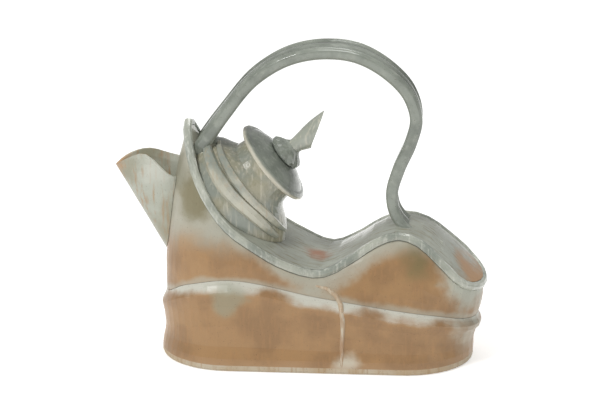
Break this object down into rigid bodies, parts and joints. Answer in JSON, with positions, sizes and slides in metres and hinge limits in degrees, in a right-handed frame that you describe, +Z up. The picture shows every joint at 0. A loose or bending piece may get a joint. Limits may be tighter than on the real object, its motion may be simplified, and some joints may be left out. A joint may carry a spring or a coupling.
{
  "type": "porcelain teapot",
  "caption": "Hand-built porcelain teapot with a long slab body, saddle-shaped top, tilted lift-off lid on a folded collar, beak spout and overhead strap handle.",
  "frame": {"origin": "centre of the underside of the floor slab", "axes": "+Z up, spout towards -X, +X along the body's length towards the tail, near side of the picture at -Y"},
  "size_m": [0.2798, 0.098, 0.2448],
  "materials": {
    "flashed_glaze": "satin orange-tan flashing",
    "celadon_glaze": "glossy pale grey-green",
    "slate_glaze": "glossy grey-green",
    "bare_porcelain": "matt unglazed"
  },
  "bodies": {
    "pot": {"floor_slab": "bare_porcelain", "skirting_slab": "flashed_glaze", "upper_wall": "flashed_glaze", "top_slab": "celadon_glaze", "rim_coil": "celadon_glaze", "lid_collar": "slate_glaze", "collar_fold_lower": "celadon_glaze", "collar_fold_upper": "celadon_glaze", "collar_fold_far": "celadon_glaze", "spout": "celadon_glaze", "strap_handle": "slate_glaze", "spout_strainer": "bare_porcelain"},
    "lid": {"lid_disc": "slate_glaze", "lid_flange": "bare_porcelain", "knob_foot": "slate_glaze", "knob_horn": "slate_glaze"}
  },
  "joints": [
    {"name": "lid_lift", "type": "slide", "parent": "pot", "child": "lid", "axis": [0.766, 0, 0.6428], "range_m": [0, 0.03]}
  ]
}
